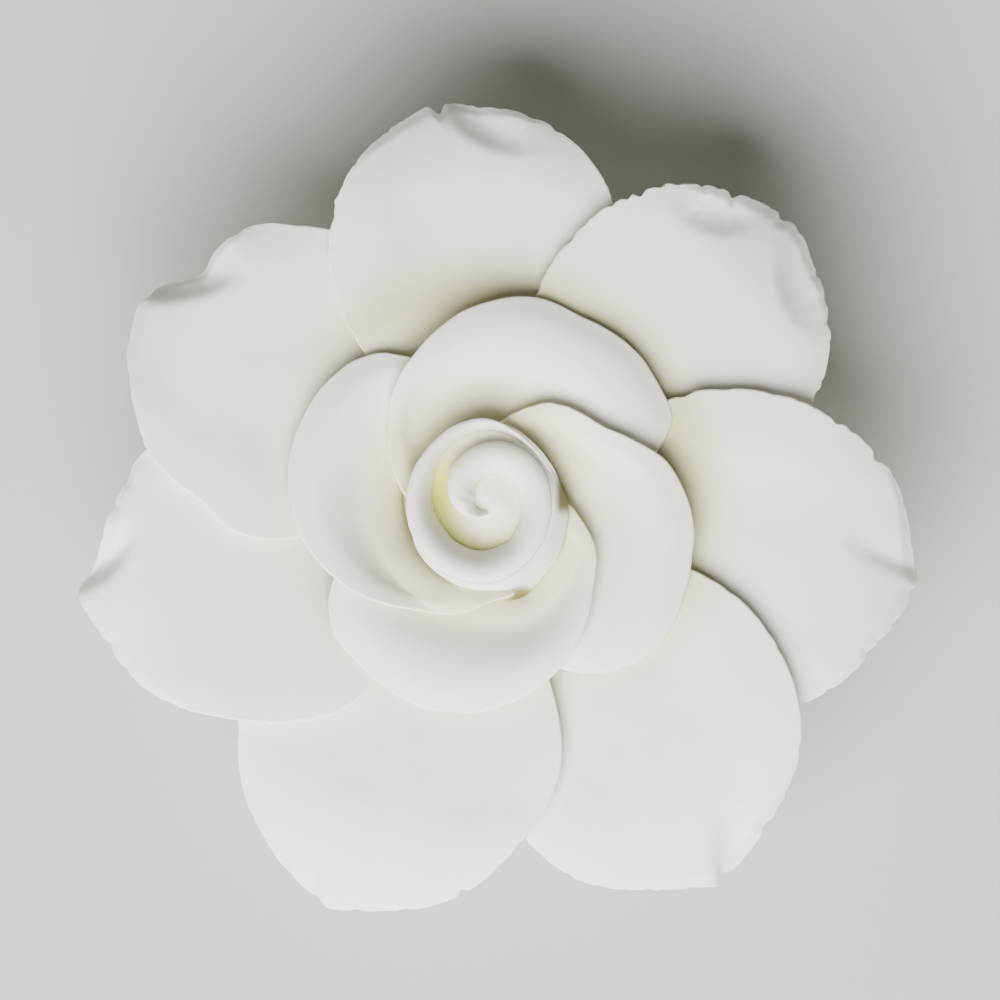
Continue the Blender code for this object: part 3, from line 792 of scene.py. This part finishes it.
# Yellow by the bud is dust with painted shade; the olive low down is painted shade.
middle_paste = modelling_paste(
    "middle_petal_paste",
    (lambda x, y, z, r: (1 - r.ramp(*MIDDLE_DUST_AND_SHADE_RADII)) * 0.75, MIDDLE_DUST_AND_SHADE),
    (lambda x, y, z, r: (1 - z.ramp(*MIDDLE_DEEP_SHADE_HEIGHTS)) * 0.8, MIDDLE_DEEP_SHADE),
)
for order, row in enumerate(MIDDLE_PETALS):
    middle_petal(order + 1, row, order)


# ---------------------------------------------------------------------------------------------
# The outer whorl: seven round petals, cut out with a knife, dished in the palm and curled down
# at the rim over a thin dowel. The tips are pinched between two fingers, which leaves a fold and
# a shallow dent beside each.

OUTER_SHELF_HEIGHT = 25.6 * MM
OUTER_SHELF_START = 22.0 * MM
OUTER_SHELF_END = 34.0 * MM
OUTER_SEAT_RADIUS = 5.45 * MM
OUTER_SEAT_DROP = 14.5 * MM
OUTER_RIM_DROP = 4.0 * MM
OUTER_RIM_REACH = 12.0 * MM
TIP_WIDTH = 0.4
BASE_TAPER = 0.45
SEAT_CURVE = 1.74
OUTER_SETTLE = 0.85 * MM
OUTER_COLUMNS = 76
OUTER_ROWS = 64
OUTER_THIN_SHARE = 0.45
OUTER_EDGES = (0.5, 0.2)
# Dust with painted shade beside the middle whorl, the shade on the side away from the light.
OUTER_DUST_AND_SHADE = (0.66, 0.62, 0.36)
OUTER_DUST_AND_SHADE_RADII = (21.5 * MM, 28.5 * MM)
OUTER_SHADE_SIDE = (-12.0 * MM, 22.0 * MM)  # in x + y, over which it gets more
OUTER_SETTLE_REACH = 0.8  # in p, back from the side that lies over the next petal
WAVE, WAVE_SCALE = 0.22 * MM, 90.0
RIPPLE, RIPPLE_SCALE = 0.05 * MM, 340.0
UNEVENNESS, UNEVENNESS_SCALE = 0.12, 8.0
TEAR, TEAR_SCALE = 0.6, 27.0
TEAR_START = 0.08
# Each petal: (reach to its circle's middle, bearing, radius, turn of its tip, rise of its tip, raggedness),
# then its outline's swells and its nicks: (turn, depth, half width).
OUTER_PETALS = (
    (
        (26.7, 92.0, 15.6, 13.0, 0.8, 0.9),
        ((-5, -0.3, 12), (-60, 0.25, 20)),
        ((12.4, 1.5, 1.5), (68.0, -0.25, 1.2), (-36.0, 0.35, 1.5)),
    ),
    (
        (27.5, 40.0, 15.8, 10.0, 1.1, 1.3),
        ((46, 0.3, 34), (0, 0.35, 8)),
        ((9.5, 0.9, 1.3), (30.0, 0.6, 1.3), (66.0, 0.6, 1.6)),
    ),
    (
        (27.5, -11.0, 17.4, 0.0, 2.4, 1.0),
        ((35, 0.5, 16), (-22, -0.3, 12), (115, 0.75, 11)),
        ((-1.5, 0.6, 1.2), (64.0, 0.4, 1.3), (46.0, 0.5, 1.3), (-26.0, 0.3, 1.8), (112.5, 0.6, 1.3)),
    ),
    (
        (28.1, -55.0, 17.1, -9.0, 2.7, 0.7),
        ((-52, 0.65, 18), (2, 0.4, 14), (50, 0.3, 18)),
        ((-5.5, 0.8, 1.5), (-30.0, 0.2, 1.2), (16.0, 0.35, 1.4)),
    ),
    (
        (26.6, -109.0, 17.4, -5.0, 2.4, 0.4),
        ((64, -0.75, 22),),
        ((41.2, 0.8, 1.3), (-9.0, 0.5, 2.0), (4.0, 0.2, 1.4), (20.0, 0.2, 1.2)),
    ),
    (
        (22.3, -164.0, 17.3, -6.0, 5.0, 0.9),
        ((25, 1.4, 20), (-55, 0.8, 18), (-16, -0.6, 8)),
        ((-43.0, 0.3, 1.6), (-34.0, 0.3, 1.6), (10.0, 0.25, 1.5), (19.0, 0.25, 1.5)),
    ),
    (
        (23.0, 148.0, 17.2, 5.0, 2.2, 0.35),
        ((-17, -1.8, 9), (-44, 0.6, 10), (20, 0.5, 10), (80, -1.2, 14)),
        ((0.5, 0.3, 1.4), (-36.0, 0.2, 1.4)),
    ),
)
# The folds: (petal, depth, width, share of its length where it is deepest, its line in plan).
OUTER_FOLDS = (
    (1, 1.1, 2.3, 0.2, (
        (-5.0, 41.8), (-3.8, 40.2), (-2.4, 38.9), (-0.6, 37.8), (1.6, 37.0), (4.2, 36.5), (7.4, 36.8),
    )),
    (2, 0.75, 2.5, 0.5, (
        (18.8, 32.4), (20.7, 29.8), (23.2, 28.4), (25.8, 28.0), (28.4, 28.5), (30.9, 30.2),
    )),
    (2, 0.85, 2.4, 0.4, (
        (31.8, 29.7), (30.9, 27.1), (30.6, 24.4), (31.2, 21.4), (32.8, 19.0), (35.4, 16.6),
    )),
    (3, 0.8, 1.6, 1.0, ((37.4, -4.0), (40.0, -6.0), (42.6, -7.3), (44.8, -8.2), (46.6, -8.9))),
    (4, 1.0, 2.2, 0.8, ((24.8, -31.4), (24.2, -34.4), (24.1, -37.1), (24.4, -39.5), (24.0, -41.6))),
    (5, 0.6, 1.2, 0.2, ((-17.3, -43.0), (-16.9, -40.9), (-16.5, -39.0), (-15.6, -37.2))),
    (6, 1.7, 1.9, 0.35, (
        (-43.6, -10.4), (-40.9, -9.4), (-39.0, -8.1), (-37.7, -6.6), (-36.8, -4.8), (-36.2, -2.6),
    )),
    (7, 2.1, 2.7, 0.2, (
        (-36.6, 22.0), (-34.0, 20.9), (-31.4, 21.2), (-29.0, 21.8), (-26.8, 22.7), (-24.4, 24.0),
    )),
)
SIDE_CROWDING = 0.25
OUTER_START = 93.0
SLOPE_STEP = 0.1 * MM


def folded(place, line, width, peak):
    """Share of a fold's depth here: it breaks down sharply to the left of its line, and eases up beyond."""
    nearest = (math.inf, 0.0, 0.0)
    for i, (start, end) in enumerate(zip(line, line[1:])):
        run = Vector(end) - Vector(start)
        share = min(max((place - Vector(start)).dot(run) / run.length_squared, 0.0), 1.0)
        away = place - Vector(start) - run * share
        nearest = min(nearest, (away.length, run.cross(away), (i + share) / (len(line) - 1)))
    away, side, along = nearest
    if side <= 0.0:
        return 0.0
    strength = 1 - ((along - peak) / max(peak, 1 - peak)) ** 2
    return strength * away / width * math.exp((1 - (away / width) ** 2) / 2)


def outer_petal(number, row, order):
    (reach, bearing, radius, tip_turn, tip_rise, raggedness), swells, nicks = row
    reach *= MM
    bearing = math.radians(bearing)
    tip_turn = math.radians(tip_turn)
    place = math.radians(OUTER_START - 360.0 / len(OUTER_PETALS) * order)
    folds = [fold for fold in OUTER_FOLDS if fold[0] == number]

    def outline(turn):
        out = radius + tip_rise * math.exp(-abs(turn_from(turn, tip_turn)) / TIP_WIDTH)
        for swell_turn, swell, half_width in swells:
            away = math.degrees(turn_from(turn, math.radians(swell_turn))) / half_width
            out += swell * math.exp(-(away**2))
        for nick_turn, depth, half_width in nicks:
            away = math.degrees(turn_from(turn, math.radians(nick_turn))) / half_width
            out -= depth * math.exp(-(away**2))
        side, end = math.sin(turn), math.cos(turn)
        out += UNEVENNESS * wander(number, side * UNEVENNESS_SCALE, end * UNEVENNESS_SCALE)
        torn = wander(number + 20, side * TEAR_SCALE, end * TEAR_SCALE)
        out -= TEAR * raggedness * max(torn - TEAR_START, 0.0)
        return out * MM

    def height(r):
        inward = max(OUTER_SHELF_START - r, 0.0) / (OUTER_SHELF_START - OUTER_SEAT_RADIUS)
        outward = max(r - OUTER_SHELF_END, 0.0) / OUTER_RIM_REACH
        return OUTER_SHELF_HEIGHT - OUTER_SEAT_DROP * inward**SEAT_CURVE - OUTER_RIM_DROP * outward**2

    def layer(r):
        """Height of one petal over the next, so that they lie just clear on the slope."""
        rise = (height(r + SLOPE_STEP) - height(r)) / SLOPE_STEP
        return PETAL_THICKNESS * math.hypot(1.0, rise) + LAYER_GAP

    def point(p, q):
        p += SIDE_CROWDING * math.sin(math.pi * p) / math.pi
        q += RIM_CROWDING * (1 - q * q) / 2
        across = p * math.sqrt(1 - q * q / 2)
        along = q * math.sqrt(1 - p * p / 2)
        turn = math.atan2(across, along)
        turn += tip_turn * (1 + math.cos(turn)) / 2
        share = math.hypot(across, along)
        along = share * outline(turn) * math.cos(turn)
        across = share * outline(turn) * math.sin(turn)
        if along < 0:
            inward = -along / outline(math.pi)
            along = -inward * (reach - OUTER_SEAT_RADIUS)
            across *= 1 - BASE_TAPER * inward**2
        x = reach + along
        r = math.hypot(x, across)
        angle = bearing + math.atan2(across, x)
        z = height(r) + layer(r) * turn_from(angle, place) / (math.tau / len(OUTER_PETALS))
        plan_x = r * math.cos(angle)
        plan_y = r * math.sin(angle)
        for _, depth, width, peak, line in folds:
            z -= depth * MM * folded(Vector((plan_x, plan_y)) / MM, line, width, peak)
        z += WAVE * wander(number + 40, x * WAVE_SCALE, across * WAVE_SCALE)
        z += RIPPLE * wander(number + 60, x * RIPPLE_SCALE, across * RIPPLE_SCALE)
        return (plan_x, plan_y, z)

    def settle(p, q):
        return OUTER_SETTLE * (1 - ease(1 - p, 0.0, OUTER_SETTLE_REACH))

    name = f"round_petal_{number}"
    body = (PETAL_THICKNESS, OUTER_THIN_SHARE)
    petal = paste_sheet(name, (OUTER_COLUMNS, OUTER_ROWS), point, body, -1.0, OUTER_EDGES, settle)
    finish_piece(petal, f"outer_petal_{number}", outer_paste)


def outer_dust_and_shade(x, y, z, r):
    """Dust beside the middle whorl, with painted shade added on the far side, where the middle whorl's rim
    shades the petals.
    """
    return (1 - r.ramp(*OUTER_DUST_AND_SHADE_RADII)) * (0.15 + (x + y).ramp(*OUTER_SHADE_SIDE) * 0.75)


outer_paste = modelling_paste("outer_petal_paste", (outer_dust_and_shade, OUTER_DUST_AND_SHADE))
for order, row in enumerate(OUTER_PETALS):
    outer_petal(order + 1, row, order)


# ---------------------------------------------------------------------------------------------
# The setting: the flower stands on a plain sheet of warm pale grey card, under one broad soft
# light from the near side, with a little fill from all round, and is seen from straight above.

CARD = (0.60, 0.592, 0.565)
CARD_FIBRES = (0.585, 0.577, 0.55)
FIBRE_SCALE = 9.0
FIBRE_SHARE = 0.3
CARD_SIZE = 1.6
LIGHT_DISTANCE = 1.1
LIGHT_SIZE = 1.18
LIGHT_BEARING = -107.0
LIGHT_ELEVATION = 50.0
LIGHT_POWER = 31.5
FILL = 0.085
LIGHT_COLOUR = (1.0, 0.995, 0.985)
FILL_COLOUR = (1.0, 0.985, 0.96)
CARD_ROUGHNESS = 0.9
CARD_SHINE = 0.1
SENSOR_WIDTH = 36.0
CAMERA_HEIGHT = 1.2
VIEW_WIDTH = 107.0 * MM
VIEW_CENTRE = (1.82 * MM, 0.32 * MM)
VIEW_PLANE = 21.0 * MM

card_mesh = bpy.data.meshes.new("card")
card_shape = bmesh.new()
bmesh.ops.create_grid(card_shape, x_segments=8, y_segments=8, size=CARD_SIZE / 2)
card_shape.to_mesh(card_mesh)
card_shape.free()
card = bpy.data.objects.new("card", card_mesh)
bpy.context.scene.collection.objects.link(card)
card_stock = bpy.data.materials.new("card_stock")
card_stock.use_nodes = True
card_start = Field(card_stock.node_tree)
card_place = card_start.add("ShaderNodeTexCoord", out="Object")
fibres = card_start.add("ShaderNodeTexNoise", (), {"Vector": card_place, "Scale": FIBRE_SCALE, "Detail": 2.0})
card_colour = (fibres.ramp(0.3, 0.7) * FIBRE_SHARE).tinted(opaque(CARD), opaque(CARD_FIBRES))
card_shader = card_stock.node_tree.nodes["Principled BSDF"]
card_stock.node_tree.links.new(card_colour.socket, card_shader.inputs["Base Color"])
card_shader.inputs["Roughness"].default_value = CARD_ROUGHNESS
card_shader.inputs["Specular IOR Level"].default_value = CARD_SHINE
card_mesh.materials.append(card_stock)

world = bpy.data.worlds.new("studio")
world.use_nodes = True
sky = world.node_tree.nodes["Background"]
sky.inputs["Color"].default_value = opaque(FILL_COLOUR)
sky.inputs["Strength"].default_value = FILL
bpy.context.scene.world = world

softbox = bpy.data.lights.new("softbox", "AREA")
softbox.shape = "DISK"
softbox.size = LIGHT_SIZE
softbox.energy = LIGHT_POWER
softbox.color = LIGHT_COLOUR
softbox_stand = bpy.data.objects.new("softbox", softbox)
light_turn = math.radians(LIGHT_BEARING)
light_rise = math.radians(LIGHT_ELEVATION)
level = math.cos(light_rise)
towards_light = Vector((math.cos(light_turn) * level, math.sin(light_turn) * level, math.sin(light_rise)))
softbox_stand.location = towards_light * LIGHT_DISTANCE
softbox_stand.rotation_euler = towards_light.to_track_quat("Z", "Y").to_euler()
bpy.context.scene.collection.objects.link(softbox_stand)

camera = bpy.data.cameras.new("camera")
camera.sensor_width = SENSOR_WIDTH
camera.lens = camera.sensor_width * (CAMERA_HEIGHT - VIEW_PLANE) / VIEW_WIDTH
camera.clip_start = 0.1
camera.clip_end = 10.0
camera_stand = bpy.data.objects.new("camera", camera)
camera_stand.location = (*VIEW_CENTRE, CAMERA_HEIGHT)
bpy.context.scene.collection.objects.link(camera_stand)
bpy.context.scene.camera = camera_stand
bpy.context.scene.view_settings.view_transform = "Filmic"
